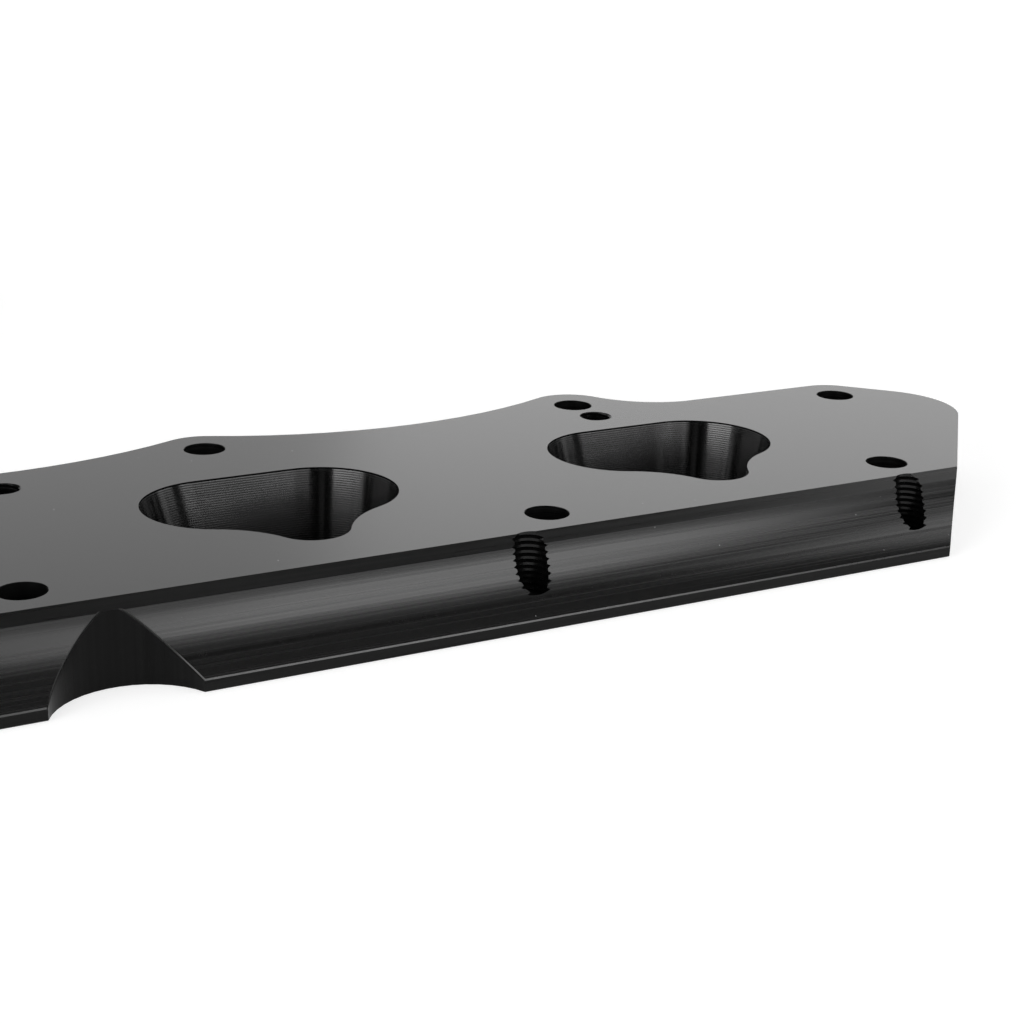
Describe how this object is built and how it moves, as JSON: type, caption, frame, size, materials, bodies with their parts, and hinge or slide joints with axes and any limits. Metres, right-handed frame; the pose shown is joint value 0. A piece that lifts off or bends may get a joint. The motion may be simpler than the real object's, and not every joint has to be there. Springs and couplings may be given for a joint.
{
  "type": "intake manifold adapter",
  "caption": "Flat black anodised plate with lobed intake ports in a row, stud and tapped holes, a scalloped back edge and a coved front flange with a round notch.",
  "frame": {"origin": "centre of the bounding box's bottom face, on the flange face", "axes": "+X along the plate, +Y towards the scalloped edge, +Z out of the top face"},
  "size_m": [0.4572, 0.1, 0.0164],
  "materials": {
    "black_anodised": "satin"
  },
  "bodies": {
    "root": {"adapter_plate": "black_anodised"}
  },
  "joints": []
}
